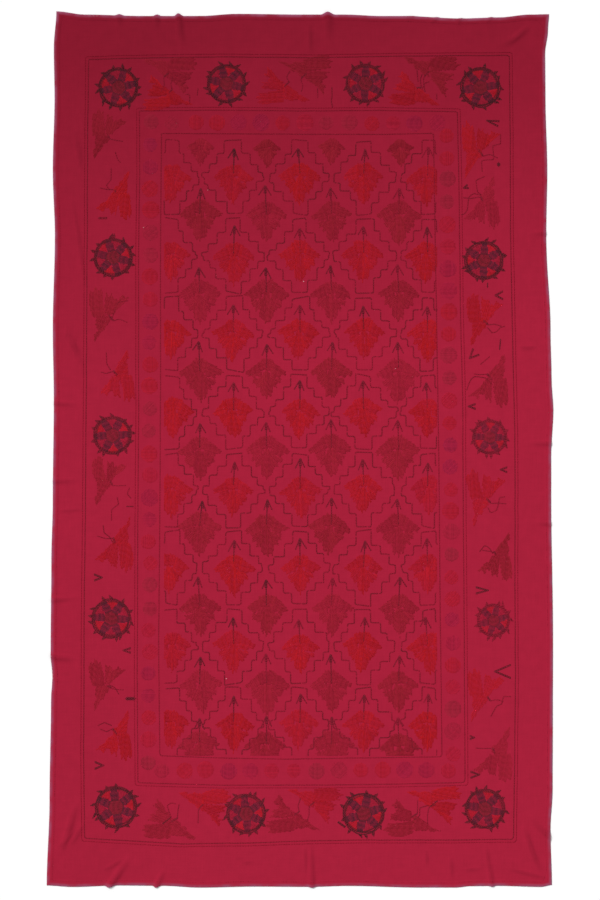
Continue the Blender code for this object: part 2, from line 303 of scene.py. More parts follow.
# The stepped vines of the border, clockwise from the head's left.
VINES = (
    ((-287, 1015), (-287, 993)),
    ((-321, 995), (-309, 995), (-309, 970)),
    ((49, 1015), (49, 987)),
    ((88, 1015), (91, 990), (85, 979), (91, 959)),
    ((326, 1065), (329, 1032)),
    ((363, 1032), (346, 1026), (349, 1004)),
    ((382, 998), (385, 981)),
    ((561, 883), (561, 855), (539, 852), (542, 813), (508, 811), (511, 780)),
    ((517, 766), (491, 755), (497, 721), (508, 713)),
    ((508, 713), (486, 718), (472, 707), (469, 673), (461, 662), (452, 659)),
    ((525, 343), (536, 329), (550, 332), (561, 343), (573, 346)),
    ((531, 262), (505, 239)),
    ((466, 167), (477, 195), (489, 206), (519, 203), (536, 186)),
    ((573, -130), (559, -133), (553, -167), (533, -178), (525, -161)),
    ((503, -284), (517, -265), (531, -273), (539, -290)),
    ((589, -690), (570, -690), (564, -713), (550, -715), (533, -743)),
    ((363, -995), (335, -1001), (337, -1023), (321, -1035)),
    ((-360, -1029), (-371, -995), (-360, -987), (-349, -990)),
    ((-567, -771), (-545, -763), (-528, -771)),
    ((-536, -659), (-519, -665), (-508, -682)),
    ((-511, -133), (-508, -153), (-528, -167), (-528, -195)),
    ((-550, -209), (-547, -231), (-533, -245), (-522, -262)),
    ((-477, -105), (-483, -122), (-475, -136)),
    ((-542, 276), (-542, 242), (-531, 223)),
    ((-525, 371), (-511, 413), (-483, 419)),
    ((-528, 791), (-528, 757), (-542, 741), (-533, 729)),
    ((-519, 836), (-511, 813), (-505, 805)),
)

# The cloth and its thread are darkened towards the head by painted shade: how far up the cloth, in
# metres, it starts to show and is full, and how bright thread is at the two.
HEAD_SHADE_FROM = 0.2
HEAD_SHADE_FULL = 1.2
THREAD_HEAD_SHADE = (1.10, 0.86)

# Where undyed thread shows: specks in the cloth, and along the left and the head edge.
WHITE_SPECKS = ((-258, 728), (10, 472), (267, 228), (-438, 623), (-206, -640))
WHITE_LEFT_SPAN = (-643, -572)
WHITE_HEAD_SPAN = (-606, -573)


def to_linear(code):
    """A colour written as an sRGB hex value, as the linear RGB that shaders take."""
    parts = [int(code[i:i + 2], 16) / 255 for i in (1, 3, 5)]
    return tuple(c / 12.92 if c <= 0.04045 else ((c + 0.055) / 1.055) ** 2.4 for c in parts)


def colour_property(name, description, code):
    return FloatVectorProperty(
        name=name, description=description, default=to_linear(code),
        subtype="COLOR", size=3, min=0, max=1,
    )


def length_property(name, description, metres, low, high):
    return FloatProperty(
        name=name, description=description, default=metres, min=low, max=high,
        subtype="DISTANCE", unit="LENGTH",
    )


class SuzaniCloth(PropertyGroup):
    """The plain cloth."""

    ground: colour_property("Ground", "Dyed cotton in the middle of the cloth", "#A31D37")
    # The head colour is the ground darkened by painted shade, which the cloth takes on towards the
    # head.
    head: colour_property("Head", "Dyed cotton at the head, where it took more dye", "#84152A")
    worn: colour_property("Worn edge", "Folded edge where the dye has rubbed off", "#96506C")
    weave_pitch: length_property(
        "Weave pitch", "Distance between drawn threads of the weave", 0.0016, 0.0005, 0.02,
    )
    margin_pitch: length_property(
        "Margin grid", "Size of the mesh's cells in the creased margin", 0.005, 0.002, 0.02,
    )
    field_pitch: length_property(
        "Field grid", "Size of the mesh's cells in the flat field", 0.024, 0.005, 0.05,
    )


class SuzaniThread(PropertyGroup):
    """The embroidery thread."""

    link_length: length_property(
        "Link length", "Length of one chain stitch", 0.0072, 0.002, 0.02,
    )
    row_spacing: length_property(
        "Row spacing", "Distance between couched rows in a filled motif", 0.003, 0.001, 0.01,
    )
    row_height: length_property(
        "Row height", "How far a couched row stands above the cloth", 0.0008, 0.0002, 0.003,
    )
    black: colour_property("Over-dyed black", "Rosettes, arrows and marks", "#4B2328")
    brown: colour_property("Over-dyed brown", "Rules and lattice", "#76202C")
    navy: colour_property("Over-dyed blue", "Stars of the rosettes", "#4E202E")
    maroon: colour_property("Brown red", "Middles of the rosettes", "#6A2028")
    red: colour_property("Red", "Red flowers", "#A8181F")
    bright: colour_property("Bright red", "Petals of the rosettes", "#AC1A26")
    dark: colour_property("Dark red", "Dark flowers", "#8C1D2A")
    pink: colour_property("Pink", "Pale petals and the rules' companion line", "#941D31")
    purple: colour_property("Purple", "Purple roundels", "#8E1D3D")
    grey: colour_property("Grey", "Grey roundels", "#882432")
    white: colour_property("Undyed", "Specks of undyed cotton", "#D8A8AC")


class SuzaniStage(PropertyGroup):
    """The floor, the lights and the camera."""

    floor: colour_property("Floor", "Plain pale floor", "#FAFAFA")
    key_strength: FloatProperty(
        name="Key light", description="Strength of the broad light from the head's left corner",
        default=2.32, min=0,
    )
    key_height: FloatProperty(
        name="Key height", description="Angle of the broad light above the floor",
        default=math.radians(50), min=0, max=math.pi / 2, subtype="ANGLE", unit="ROTATION",
    )
    room_strength: FloatProperty(
        name="Room light", description="Strength of the even light from all sides",
        default=0.5, min=0,
    )
    camera_height: length_property(
        "Camera height", "Height of the camera above the floor", 7.0, 1, 30,
    )
    seen_length: length_property(
        "Seen length", "Length of floor that the picture takes in", 2.52, 0.5, 10,
    )


def smooth_step(share):
    """Shares from 0 to 1, eased at both ends."""
    share = np.clip(share, 0, 1)
    return share * share * (3 - 2 * share)


def edge_offset(rows, along):
    """How far an edge lies outside the straight one at places along it."""
    places = np.array([row.along for row in rows], float)
    outs = np.array([row.out for row in rows], float)
    along = np.clip(along, places[0], places[-1])
    upper = np.clip(np.searchsorted(places, along), 1, len(places) - 1)
    share = (along - places[upper - 1]) / (places[upper] - places[upper - 1])
    return outs[upper - 1] + (outs[upper] - outs[upper - 1]) * smooth_step(share)


def crease_share(crease, x, y):
    """How much of a crease's height reaches each point, and how far along it the point is."""
    start = np.array(crease.start, float)
    run = np.array(crease.end, float) - start
    length = math.hypot(*run)
    ahead = run / length
    along = ((x - start[0]) * ahead[0] + (y - start[1]) * ahead[1]) / length
    across = np.abs((x - start[0]) * ahead[1] - (y - start[1]) * ahead[0]) / crease.half_width
    over = np.where(across < 1, 0.5 + 0.5 * np.cos(np.pi * np.minimum(across, 1)), 0)
    end_x, end_y = crease.end
    if abs(end_x) >= HALF_WIDTH or abs(end_y) >= HALF_LENGTH:
        reach = smooth_step(along)
    else:
        reach = np.sin(np.pi * np.clip(along, 0, 1))
    return over * reach, along


def ripple(x, y):
    """The soft unevenness of a cloth that has been washed and folded, never below 0."""
    slow = np.sin(x / 61 + 1.3) * np.sin(y / 83 + 0.4)
    cross = np.sin((x + 0.6 * y) / 47) * np.sin((y - 0.5 * x) / 71 + 2.1)
    return 0.45 * (1 + 0.55 * slow + 0.45 * cross)


def hem_share(x, y):
    """1 on the doubled hem, 0 inside it, and between the two on the step down."""
    inside = np.minimum(HALF_WIDTH - np.abs(x), HALF_LENGTH - np.abs(y))
    return np.clip((HEM_WIDTH - inside) / HEM_STEP, 0, 1)


def lift(x, y):
    """How high the underside of the drawn cloth lies above the floor."""
    height = np.zeros(np.shape(x))
    for crease in CREASES + WRINKLES:
        height = height + crease_share(crease, x, y)[0] * crease.height
    puckers = 0.5 + 0.5 * np.sin((x + y) / 3.7 + 2 * np.sin((x - y) / 41))
    return height + ripple(x, y) + 0.35 * puckers * hem_share(x, y)


def settle(x, y):
    """Where points of the drawn cloth lie on the uneven one."""
    across, along = x / HALF_WIDTH, y / HALF_LENGTH
    side = np.where(x > 0, edge_offset(RIGHT_EDGE, y), edge_offset(LEFT_EDGE, y))
    end = np.where(y > 0, edge_offset(TOP_EDGE, x), edge_offset(BOTTOM_EDGE, x))
    moved_x = x + side * across * np.abs(across)
    moved_y = y + end * along * np.abs(along)
    for crease in CREASES + WRINKLES:
        if not crease.carry:
            continue
        share, run = crease_share(crease, x, y)
        ahead = np.subtract(crease.end, crease.start)
        ahead = ahead / np.hypot(*ahead)
        carried = share * np.clip(run, 0, 1) ** 2 * crease.carry
        moved_x = moved_x + ahead[0] * carried
        moved_y = moved_y + ahead[1] * carried
    return moved_x, moved_y


def on_drawn_cloth(x, y):
    """The lie of the cloth's face at points of the drawn cloth, for stitches on the hem."""
    low = lift(x, y)
    thick = CLOTH_THICK + (HEM_THICK - CLOTH_THICK) * hem_share(x, y)
    moved_x, moved_y = settle(x, y)
    return moved_x, moved_y, low + thick


def on_settled_cloth(x, y):
    """The lie of the cloth's face at points of the uneven cloth, for all other stitches."""
    moved_x, moved_y = settle(x, y)
    return x, y, lift(2 * x - moved_x, 2 * y - moved_y) + CLOTH_THICK


def grid_lines(half, margin, fine, coarse, creased):
    """Places of the sheet's grid lines: close in the margins and by creases, wide elsewhere."""
    hem = [0, 1, 3, 6, 10, HEM_WIDTH - HEM_STEP, HEM_WIDTH, HEM_WIDTH + 2.5]
    lines = [half - inset for inset in hem]
    place = lines[-1]
    while place > -half + hem[-1]:
        beyond = place - coarse
        near = place > half - margin or beyond < margin - half
        near = near or any(low - fine <= place and beyond <= high for low, high in creased)
        place -= fine if near else coarse
        lines.append(place)
    lines = [line for line in lines if line > -half + hem[-1] + fine / 2]
    return np.array(sorted(lines + [inset - half for inset in hem]))


def mesh_object(name, points, faces, material):
    """A smooth-shaded object from points in millimetres."""
    data = bpy.data.meshes.new(name)
    data.from_pydata((np.asarray(points) * MM).tolist(), [], faces)
    data.polygons.foreach_set("use_smooth", [True] * len(data.polygons))
    data.materials.append(material)
    data.update()
    piece = bpy.data.objects.new(name, data)
    bpy.context.scene.collection.objects.link(piece)
    return piece


def give_uv(piece, values):
    """A UV map from one pair of values a point."""
    data = piece.data
    corners = np.empty(len(data.loops), np.int32)
    data.loops.foreach_get("vertex_index", corners)
    layer = data.uv_layers.new(name="along_thread")
    layer.data.foreach_set("uv", np.asarray(values, np.float32)[corners].ravel())


def give_attribute(piece, name, values):
    """A number for each point, which the piece's material reads by name."""
    attribute = piece.data.attributes.new(name, "FLOAT", "POINT")
    attribute.data.foreach_set("value", np.asarray(values, np.float32))


# Threads that lie side by side: points (count, stations, 2), half widths and heights at each
# station, and for each thread its tone, from dark to light about 1, and how far it has faded.
Threads = namedtuple("Threads", "points half_width height tone fade")
SECTION = np.array([(-1, 0), (0, 1), (1, 0)], float)
SUNK = 0.15
TIE_SPACING = 7.5


def thread_bodies(threads, lie):
    """Closed bodies for a batch of threads, with their feet sunk in the cloth."""
    count, stations, _ = threads.points.shape
    corners = len(SECTION)
    ahead = np.gradient(threads.points, axis=1)
    ahead /= np.maximum(np.linalg.norm(ahead, axis=2, keepdims=True), 1e-6)
    side = np.stack([-ahead[..., 1], ahead[..., 0]], axis=2)
    reach = threads.half_width[:, :, None, None] * SECTION[None, None, :, :1]
    spots = threads.points[:, :, None, :] + side[:, :, None, :] * reach
    x, y, z = lie(spots[..., 0], spots[..., 1])
    z = z - SUNK + threads.height[:, :, None] * SECTION[None, None, :, 1]
    points = np.stack([x, y, z], axis=3).reshape(-1, 3)

    index = np.arange(count * stations * corners).reshape(count, stations, corners)
    following = np.roll(index, -1, axis=2)
    sides = np.stack(
        [index[:, :-1], index[:, 1:], following[:, 1:], following[:, :-1]], axis=3
    ).reshape(-1, 4)
    ends = np.concatenate([index[:, 0], index[:, -1, ::-1]])

    runs = np.linalg.norm(np.diff(threads.points, axis=1), axis=2)
    along = np.concatenate([np.zeros((count, 1)), np.cumsum(runs, axis=1)], axis=1) * MM
    across = np.linspace(0, 1, corners)
    uv = np.stack(np.broadcast_arrays(along[:, :, None], across[None, None, :]), axis=3)
    shades = np.repeat(np.stack([threads.tone, threads.fade], axis=1), stations * corners, axis=0)
    return points, sides, ends, uv.reshape(-1, 2), shades


def thread_piece(name, batches, material, lie):
    """One object that holds every thread of several batches."""
    by_stations = {}
    for batch in batches:
        if len(batch.points):
            by_stations.setdefault(batch.points.shape[1], []).append(batch)
    points, faces, uv, shades = [], [], [], []
    used = 0
    for group in by_stations.values():
        threads = Threads(*[np.concatenate(column) for column in zip(*group)])
        spots, sides, ends, places, tones = thread_bodies(threads, lie)
        faces += (sides + used).tolist() + (ends + used).tolist()
        points.append(spots)
        uv.append(places)
        shades.append(tones)
        used += len(spots)
    shades = np.concatenate(shades)
    piece = mesh_object(name, np.concatenate(points), faces, material)
    give_uv(piece, np.concatenate(uv))
    give_attribute(piece, "tone", shades[:, 0])
    give_attribute(piece, "fade", shades[:, 1])
    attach(piece, "root")
    return piece


def evenly_along(path, step):
    """Evenly spaced points along a line, as near the step as fits."""
    path = np.asarray(path, float)
    ends = np.concatenate([[0], np.cumsum(np.hypot(*np.diff(path, axis=0).T))])
    at = np.linspace(0, ends[-1], max(2, round(ends[-1] / step) + 1))
    return np.column_stack([np.interp(at, ends, path[:, axis]) for axis in (0, 1)])


def by_hand(path, amount, rng):
    """A line as a hand would draw it: points a little off, with the error drifting slowly."""
    drift = np.cumsum(rng.normal(0, 1, path.shape), axis=0)
    drift -= np.linspace(0, 1, len(path))[:, None] * drift[-1]
    spread = np.abs(drift).max()
    return path + drift * (amount / max(spread, 1e-6))


def chain(path, rng, link, width=4.2, height=1.1, fade=0.0):
    """Chain stitch along a line: each link is two strands that part and meet again."""
    points = evenly_along(path, link)
    start, end = points[:-1], points[1:]
    run = end - start
    side = np.column_stack([-run[:, 1], run[:, 0]])
    side /= np.maximum(np.hypot(side[:, :1], side[:, 1:]), 1e-6)
    count = len(start)
    spread = width * rng.uniform(0.26, 0.34, (count, 1))
    strands = []
    for hand in (-1, 1):
        strands.append(np.stack([
            start + side * hand * width * 0.08,
            start + run * 0.55 + side * hand * spread,
            end + run * 0.16 + side * hand * width * 0.06,
        ], axis=1))
    count *= 2
    half_width = np.tile([0.16, 0.21, 0.15], (count, 1)) * width
    heights = np.tile([0.45, 1.0, 0.7], (count, 1)) * height
    tones = rng.uniform(0.86, 1.14, count)
    return Threads(
        np.concatenate(strands), half_width, heights, tones, np.full(count, float(fade))
    )


def running(path, rng, stitch, gap, width=1.6, height=0.8, fade=0.0):
    """Running stitch along a line: short straight stitches with gaps between them."""
    points = evenly_along(path, stitch + gap)
    start, run = points[:-1], np.diff(points, axis=0)
    share = stitch / (stitch + gap)
    threads = np.stack([start + run * share * s for s in (0.0, 0.5, 1.0)], axis=1)
    count = len(start)
    return Threads(
        threads, np.tile([0.35, 0.5, 0.35], (count, 1)) * width,
        np.tile([0.4, 1.0, 0.4], (count, 1)) * height,
        rng.uniform(0.88, 1.12, count), np.full(count, float(fade)),
    )


def couched(lines, spacing, rng, height, tone, fade):
    """Couched rows along straight lines (count, 2 ends, 2), dimpled where they are tied down.

    The rows come as one batch for each number of dimples.
    """
    lengths = np.linalg.norm(lines[:, 1] - lines[:, 0], axis=1)
    dimples = np.clip(np.round(lengths / TIE_SPACING), 1, 9).astype(int)
    batches = []
    for number in np.unique(dimples):
        rows = lines[dimples == number]
        count = len(rows)
        shares = np.concatenate([[0], (np.arange(number + 1) + 0.12) / (number + 0.24), [1]])
        start, end = rows[:, :1], rows[:, 1:]
        level = np.ones((count, len(shares)))
        level[:, 2:-1:2] = 0.62
        level[:, [0, -1]] = 0.35
        batches.append(Threads(
            start + (end - start) * shares[None, :, None],
            spacing * (0.24 + 0.33 * level), height * level,
            tone * rng.uniform(0.88, 1.10, count), np.full(count, float(fade)),
        ))
    return batches


def inside_field(lines):
    """Rows cut short at the edges of the field, and those outside it left out."""
    low = np.array([FIELD_LEFT, FIELD_FOOT])
    high = np.array([FIELD_RIGHT, FIELD_HEAD])
    start, run = lines[:, 0], lines[:, 1] - lines[:, 0]
    with np.errstate(divide="ignore", invalid="ignore"):
        first = np.where(run > 0, (low - start) / run, (high - start) / run)
        last = np.where(run > 0, (high - start) / run, (low - start) / run)
    level = np.abs(run) < 1e-6
    within = (start >= low) & (start <= high)
    first = np.where(level, np.where(within, 0, 1), first).max(axis=1).clip(0, 1)
    last = np.where(level, np.where(within, 1, 0), last).min(axis=1).clip(0, 1)
    kept = np.stack([start + run * first[:, None], start + run * last[:, None]], axis=1)
    return kept[(last - first) * np.hypot(*run.T) > 2.5]


def turned(points, degrees, scale=1.0):
    """Points scaled, then turned about the origin."""
    angle = math.radians(degrees)
    cos, sin = math.cos(angle), math.sin(angle)
    points = np.asarray(points, float) * scale
    return points @ np.array([(cos, sin), (-sin, cos)])


def hatched(outline, degrees, spacing, rng, ragged=1.3):
    """Straight rows at one angle that fill an outline, with the uneven ends of hand stitching."""
    level = turned(outline, -degrees)
    following = np.roll(level, -1, axis=0)
    rows = []
    for height in np.arange(level[:, 1].min() + spacing / 2, level[:, 1].max(), spacing):
        crossed = (level[:, 1] > height) != (following[:, 1] > height)
        low, high = level[crossed], following[crossed]
        share = (height - low[:, 1]) / (high[:, 1] - low[:, 1])
        places = np.sort(low[:, 0] + share * (high[:, 0] - low[:, 0]))
        for start, end in zip(places[::2], places[1::2]):
            start, end = start + rng.uniform(-ragged, ragged), end + rng.uniform(-ragged, ragged)
            if end - start > 3:
                rows.append(((start, height), (end, height)))
    return turned(np.array(rows).reshape(-1, 2, 2), degrees)


def flower_rows(leaves, middle, turn, scale, spacing, rng):
    """The rows of each leaf of a flower, every leaf a little off in outline and angle."""
    for leaf in leaves:
        outline = np.array(leaf.outline, float)
        outline += rng.normal(0, 1.6, outline.shape)
        rows = hatched(outline, leaf.rows + rng.normal(0, 5), spacing, rng, 2.4)
        yield turned(rows, turn, scale) + np.array(middle, float)


def both_halves(leaves):
    """The leaves of a half flower and their mirror images."""
    mirrored = [Leaf([(-x, y) for x, y in leaf.outline], 180 - leaf.rows) for leaf in leaves]
    return (*leaves, *mirrored)


def within_field(points):
    """The stretches of a line that lie inside the field."""
    x, y = points.T
    inside = (y < FIELD_HEAD) & (y > FIELD_FOOT) & (x > FIELD_LEFT) & (x < FIELD_RIGHT)
    breaks = np.flatnonzero(np.diff(inside.astype(int))) + 1
    stretches = zip(np.split(points, breaks), np.split(inside, breaks))
    return [part for part, kept in stretches if kept.all() and len(part) > 3]


def lozenge(column, height, rng):
    """The corners of the stepped lozenge round a flower, clockwise from its right corner."""
    corners = []
    for side, end in ((1, -1), (-1, -1), (-1, 1), (1, 1)):
        beside = [abs(dark - column) for dark in DARK_COLUMNS if (dark - column) * side > 0]
        stretch = min(beside, default=LATTICE_SPAN) / LATTICE_SPAN
        quarter, before = [], height
        for step in LOZENGE_STEPS:
            out = column + side * step.out * stretch + rng.normal(0, LATTICE_UNEVEN)
            reach = height + end * step.reach + rng.normal(0, LATTICE_UNEVEN)
            quarter += [(out, before), (out, reach)]
            before = reach
        corners += quarter if side != end else quarter[::-1]
    return [*corners, corners[0]]


def circle(radius, sides):
    """Points round a circle, with the first one again at the end."""
    around = np.linspace(0, 2 * math.pi, sides + 1)
    return radius * np.column_stack([np.cos(around), np.sin(around)])


def field_flowers(colour):
    """The middle and the size of each flower of one colour in the field."""
    if colour == "red":
        for row in range(RED_ROWS):
            for column in RED_COLUMNS:
                yield (column, FIRST_RED_ROW - row * ROW_STEP), 1.0
        return
    heights = [FIRST_RED_ROW + (0.5 - row) * ROW_STEP for row in range(DARK_ROWS)]
    heights[0] = FIRST_DARK_HEIGHT
    heights[-1] = LAST_DARK_HEIGHT
    for height in heights:
        for column in DARK_COLUMNS:
            yield (column, height), FIRST_DARK_SIZE if height == FIRST_DARK_HEIGHT else DARK_SIZE


def add(tree, kind, inputs=(), **settings):
    """Adds a node with its settings, and sets or links its inputs."""
    made = tree.nodes.new(kind)
    for name, value in settings.items():
        setattr(made, name, value)
    for name, value in dict(inputs).items():
        if isinstance(value, bpy.types.NodeSocket):
            tree.links.new(value, made.inputs[name])
        else:
            made.inputs[name].default_value = value
    return made


def new_material(name):
    """A material, its node tree and its shader."""
    material = bpy.data.materials.new(name)
    material.use_nodes = True
    tree = material.node_tree
    return material, tree, tree.nodes["Principled BSDF"]


def mixed(tree, factor, first, second):
    """The colour socket of a mix of two colours."""
    inputs = {0: factor, 6: first, 7: second}
    return add(tree, "ShaderNodeMix", inputs, data_type="RGBA").outputs[2]


def scaled(tree, colour, share):
    """The colour socket of a colour made brighter or darker."""
    inputs = {0: colour, "Scale": share}
    return add(tree, "ShaderNodeVectorMath", inputs, operation="SCALE").outputs["Vector"]


def noise(tree, place, scale, detail=3.0):
    """The number socket of a noise texture."""
    inputs = {"Vector": place, "Scale": scale, "Detail": detail}
    return add(tree, "ShaderNodeTexNoise", inputs).outputs["Fac"]


def point_number(tree, name):
    """The socket of a number that each point of the mesh carries."""
    return add(tree, "ShaderNodeAttribute", attribute_name=name).outputs["Fac"]


def surface(tree, shader, colour, relief, strength, roughness, gloss):
    """Gives a shader its colour, its fine relief and the dullness of cotton."""
    inputs = {"Height": relief, "Distance": RELIEF_DEPTH, "Strength": strength}
    bump = add(tree, "ShaderNodeBump", inputs)
    tree.links.new(colour, shader.inputs["Base Color"])
    tree.links.new(bump.outputs["Normal"], shader.inputs["Normal"])
    shader.inputs["Roughness"].default_value = roughness
    shader.inputs["Specular IOR Level"].default_value = gloss


def math_of(tree, operation, first, second=0.0):
    """The output of a sum on one or two numbers."""
    return add(tree, "ShaderNodeMath", {0: first, 1: second}, operation=operation).outputs[0]


def ranged(tree, value, low, high, to_low=0.0, to_high=1.0):
    """A number carried from one range to another, and kept inside it."""
    inputs = {"Value": value, "From Min": low, "From Max": high}
    inputs.update({"To Min": to_low, "To Max": to_high})
    return add(tree, "ShaderNodeMapRange", inputs).outputs["Result"]


# The scale at which a wave texture's bands are one unit apart, how bright painted shade leaves the
# cloth in a crease, and how deep the relief of weave and twist is, in metres.
WAVE_UNIT = math.pi / 10
PAINTED_CREASE_SHADE = 0.88
RELIEF_DEPTH = 0.0003


def dyed_cotton(settings):
    """Cotton cloth, plain woven, washed soft and piece dyed.

    The dye took unevenly, so the eye sees slow changes of shade, faint streaks along the threads
    and a rubbed, greyer line where the hem is folded. The cloth is a little darker towards the
    left, and painted shade darkens it towards the head and along each crease. There is hardly any
    gloss.
    """
    material, tree, shader = new_material("piece_dyed_cotton")
    place = add(tree, "ShaderNodeTexCoord").outputs["Object"]
    uv = add(tree, "ShaderNodeUVMap", uv_map="along_thread").outputs["UV"]
    parts = add(tree, "ShaderNodeSeparateXYZ", {"Vector": place})
    drawn = add(tree, "ShaderNodeSeparateXYZ", {"Vector": uv})

    # Painted shade: towards the head the cloth takes on the darker head colour.
    painted_head_shade = ranged(tree, parts.outputs["Y"], HEAD_SHADE_FROM, HEAD_SHADE_FULL, 0.0, 0.95)
    # The cloth is a little darker towards the left.
    toward_left = ranged(tree, parts.outputs["X"], 0.6, -0.7, -0.1, 0.1)
    patches = ranged(tree, noise(tree, place, 2.2), 0.3, 0.7, -0.1, 0.1)
    # This mix factor carries the painted shade towards the head, the darkening towards the left and
    # the slow patches of uneven dye.
    dyed = math_of(tree, "ADD", math_of(tree, "ADD", painted_head_shade, patches), toward_left)
    base = mixed(tree, dyed, (*settings.ground, 1), (*settings.head, 1))

    shade = ranged(tree, noise(tree, place, 38.0, 4.0), 0.3, 0.7, 0.97, 1.03)
    for size in ((420.0, 16.0, 1.0), (16.0, 420.0, 1.0)):
        stretched = add(tree, "ShaderNodeMapping", {"Vector": place, "Scale": size})
        streaks = noise(tree, stretched.outputs["Vector"], 1.0, 2.0)
        shade = math_of(tree, "MULTIPLY", shade, ranged(tree, streaks, 0.3, 0.7, 0.97, 1.03))
    # Painted shade: the cloth is darkened along each crease, where shade falls in the fold.
    creased = ranged(tree, point_number(tree, "creased"), 0.1, 0.7, 1.0, PAINTED_CREASE_SHADE)
    colour = scaled(tree, base, math_of(tree, "MULTIPLY", shade, creased))

    insets = []
    for axis, half in (("X", HALF_WIDTH), ("Y", HALF_LENGTH)):
        out = math_of(tree, "ABSOLUTE", drawn.outputs[axis])
        insets.append(math_of(tree, "SUBTRACT", half * MM, out))
    folded = ranged(tree, math_of(tree, "MINIMUM", *insets), 0.010, 0.001)
    rubbed = ranged(tree, noise(tree, place, 26.0), 0.35, 0.62, 0.25, 1.0)
    wear = math_of(tree, "MULTIPLY", folded, rubbed)
    colour = mixed(tree, wear, colour, (*settings.worn, 1))

    # The weave is drawn some three times coarser than real, so that it holds in a whole view.
    height = math_of(tree, "MULTIPLY", noise(tree, place, 70.0), 5.0)
    for direction in ("X", "Y"):
        threads = add(
            tree, "ShaderNodeTexWave",
            {"Vector": uv, "Scale": WAVE_UNIT / settings.weave_pitch, "Distortion": 1.2},
            wave_type="BANDS", bands_direction=direction,
        )
        height = math_of(tree, "ADD", height, threads.outputs["Fac"])
    surface(tree, shader, colour, height, strength=0.3, roughness=0.9, gloss=0.06)
    return material


def stitched_thread(name, colour, ground):
    """Two-ply cotton floss, dulled by the dye bath.

    Its twist makes fine slanting ridges, stitches differ a little in shade, and where a motif has
    faded its colour comes close to the ground's. Painted shade darkens the thread towards the head.
    """
    material, tree, shader = new_material(name)
    uv = add(tree, "ShaderNodeUVMap", uv_map="along_thread").outputs["UV"]
    place = add(tree, "ShaderNodeTexCoord").outputs["Object"]
    patches = ranged(tree, noise(tree, place, 24.0), 0.45, 0.75, 0.0, 0.25)
    fading = math_of(tree, "ADD", point_number(tree, "fade"), patches)
    base = mixed(tree, ranged(tree, fading, 0.0, 1.0), (*colour, 1), (*ground, 1))
    # Painted shade: the thread is darker towards the head.
    height = add(tree, "ShaderNodeSeparateXYZ", {"Vector": place}).outputs["Y"]
    dyed = ranged(tree, height, HEAD_SHADE_FROM, HEAD_SHADE_FULL, *THREAD_HEAD_SHADE)
    toned = scaled(tree, base, math_of(tree, "MULTIPLY", point_number(tree, "tone"), dyed))

    slanted = add(tree, "ShaderNodeMapping", {"Vector": uv, "Scale": (620.0, 1.4, 1.0)})
    twist = add(
        tree, "ShaderNodeTexWave", {"Vector": slanted.outputs["Vector"], "Scale": 0.5},
        wave_type="BANDS", bands_direction="DIAGONAL",
    )
    relief = twist.outputs["Fac"]
    surface(tree, shader, toned, relief, strength=0.5, roughness=0.85, gloss=0.03)
    return material


def thread_material(name):
    """The thread of one colour, made once and then shared."""
    made = bpy.data.materials.get(f"{name}_floss")
    if made:
        return made
    scene = bpy.context.scene
    colour = getattr(scene.suzani_thread, name)
    return stitched_thread(f"{name}_floss", colour, scene.suzani_cloth.ground)


def sew(context, name, batches, thread, lie=on_settled_cloth):
    """Lays a piece of sewing, and notes its name in the scene's list of sewn pieces."""
    piece = thread_piece(name, batches, thread_material(thread), lie)
    names = context.scene.get("sewn", "")
    context.scene["sewn"] = f"{names} {piece.name}".strip()


def gauge(context):
    """The length of a link, and the spacing and the height of couched rows, in millimetres."""
    settings = context.scene.suzani_thread
    return settings.link_length / MM, settings.row_spacing / MM, settings.row_height / MM


class LayCloth(Operator):
    """Lays the hemmed cloth with its uneven outline and its creases"""

    bl_idname = "suzani.lay_cloth"
    bl_label = "Cloth"

    def execute(self, context):
        settings = context.scene.suzani_cloth
        fine, coarse = settings.margin_pitch / MM, settings.field_pitch / MM
        spans = ([], [])
        for crease in CREASES + WRINKLES:
            run = np.abs(np.subtract(crease.end, crease.start))
            axis = 0 if run[1] > run[0] else 1
            ends = sorted((crease.start[axis], crease.end[axis]))
            spans[axis].append((ends[0] - crease.half_width, ends[1] + crease.half_width))
        across = grid_lines(HALF_WIDTH, CREASED_SIDES, fine, coarse, spans[0])
        along = grid_lines(HALF_LENGTH, CREASED_ENDS, fine, coarse, spans[1])
        x, y = np.meshgrid(across, along)
        low = lift(x, y)
        doubled = hem_share(x, y)
        inside = np.minimum(HALF_WIDTH - np.abs(x), HALF_LENGTH - np.abs(y))
        fold = 0.45 + 0.55 * smooth_step(inside / 3)
        thick = (CLOTH_THICK + (HEM_THICK - CLOTH_THICK) * doubled) * np.where(doubled > 0, fold, 1)
        moved_x, moved_y = settle(x, y)
        top = np.stack([moved_x, moved_y, low + thick], axis=2).reshape(-1, 3)
        under = np.stack([moved_x, moved_y, low], axis=2).reshape(-1, 3)
        rows, columns = x.shape
        index = np.arange(rows * columns).reshape(rows, columns)
        quads = np.stack(
            [index[:-1, :-1], index[:-1, 1:], index[1:, 1:], index[1:, :-1]], axis=2
        ).reshape(-1, 4)
        rim = np.concatenate([index[0, :-1], index[:-1, -1], index[-1, :0:-1], index[:0:-1, 0]])
        count = rows * columns
        following = np.roll(rim, -1)
        edge = np.stack([rim, rim + count, following + count, following], axis=1)
        faces = quads.tolist() + (quads[:, ::-1] + count).tolist() + edge.tolist()
        material = dyed_cotton(settings)
        cloth = mesh_object("cotton_cloth", np.concatenate([top, under]), faces, material)
        drawn = np.stack([x, y], axis=2).reshape(-1, 2) * MM
        give_uv(cloth, np.concatenate([drawn, drawn]))
        # Painted shade: how far each point lies in a crease, for the cloth's material to darken it
        # there.
        creased = np.max([crease_share(crease, x, y)[0] for crease in CREASES + WRINKLES], axis=0)
        give_attribute(cloth, "creased", np.tile(creased.ravel(), 2))
        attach(cloth, "root")
        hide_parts("ground_cloth")
        return {"FINISHED"}


